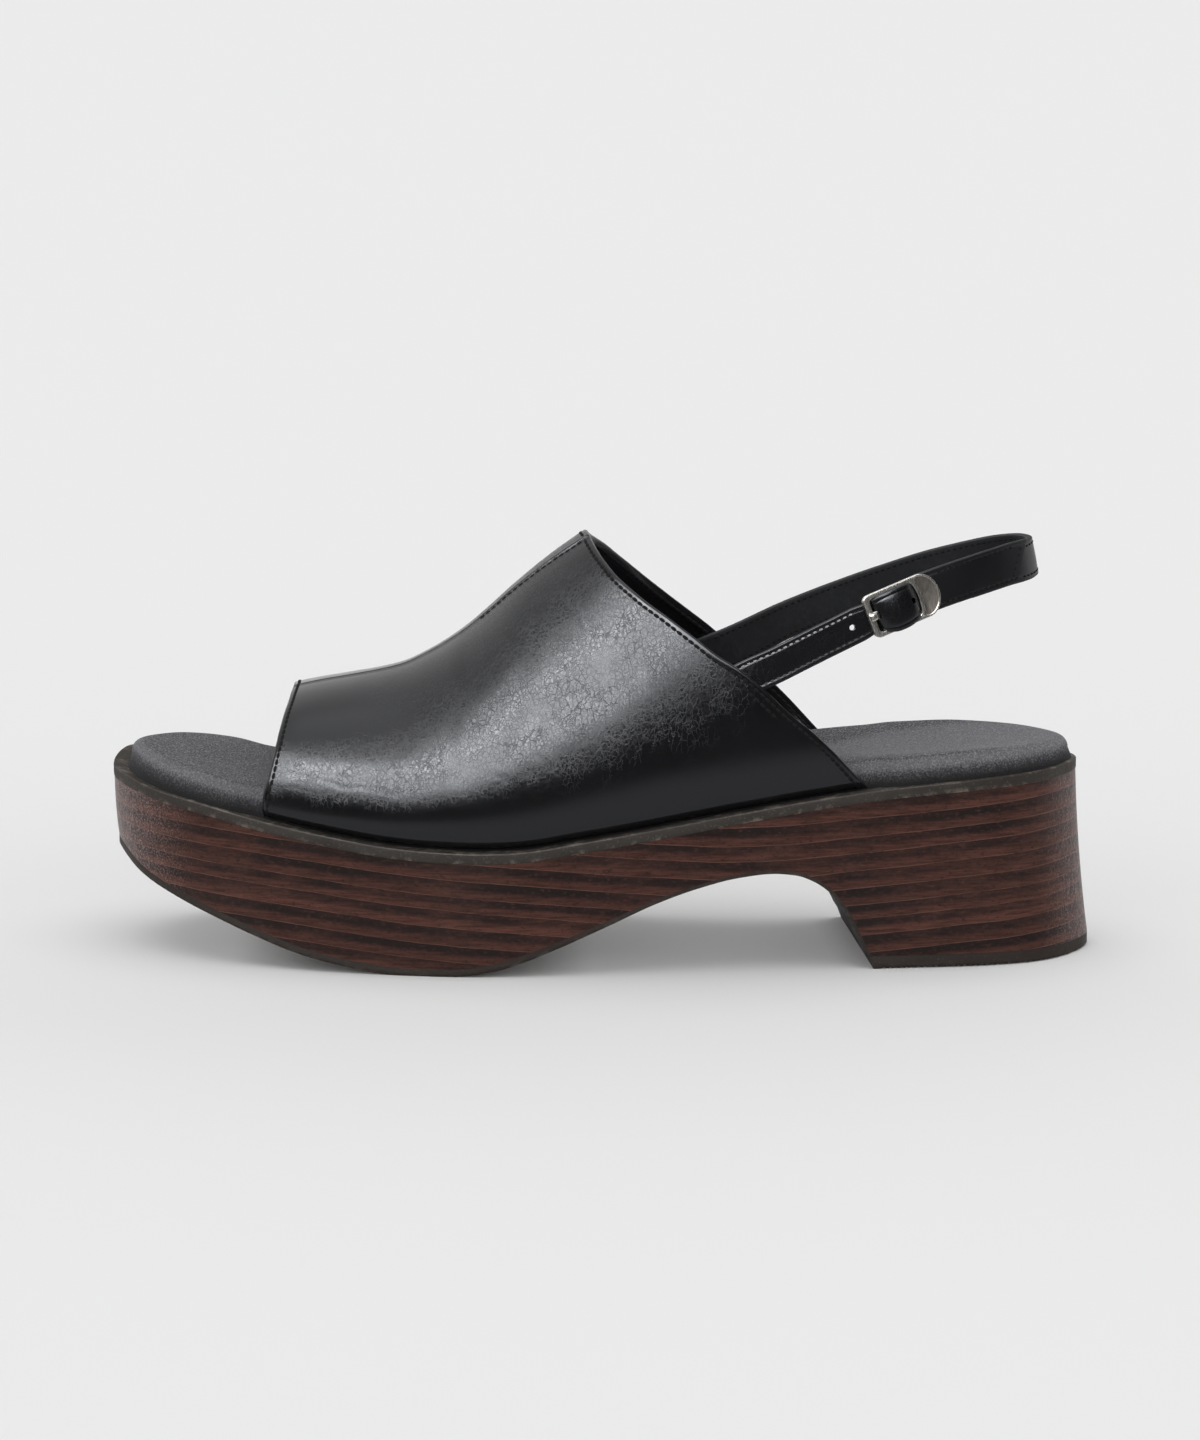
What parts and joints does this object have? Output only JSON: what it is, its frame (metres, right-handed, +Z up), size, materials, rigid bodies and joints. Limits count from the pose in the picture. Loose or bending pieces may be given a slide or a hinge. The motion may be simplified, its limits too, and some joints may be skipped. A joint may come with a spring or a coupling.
{
  "type": "platform sandal",
  "caption": "Open-toe platform sandal with a hollow leather vamp, padded insole, stacked block heel and buckled sling-back strap, left shoe.",
  "frame": {"origin": "on the floor, under the centre of the bounding box", "axes": "+X from toe to heel, +Y to the medial side, +Z up"},
  "size_m": [0.254, 0.0914, 0.1081],
  "materials": {
    "stacked_block": "dark red-brown stacked layers, satin polish",
    "sole_rubber": "taupe, matt",
    "midsole_rubber": "taupe, matt, rim shows as a welt",
    "insole_suede": "charcoal suede",
    "black_leather": "black, glossy, crackled grain",
    "buckle_metal": "antique nickel, bright rim"
  },
  "bodies": {
    "root": {"platform_block": "stacked_block", "outsole": "sole_rubber", "heel_top_piece": "sole_rubber", "midsole": "midsole_rubber", "insole": "insole_suede", "upper": "black_leather", "heel_strap": "black_leather", "buckle_strap": "black_leather", "billet_strap": "black_leather", "buckle_frame": "buckle_metal", "buckle_prong": "buckle_metal"}
  },
  "joints": []
}
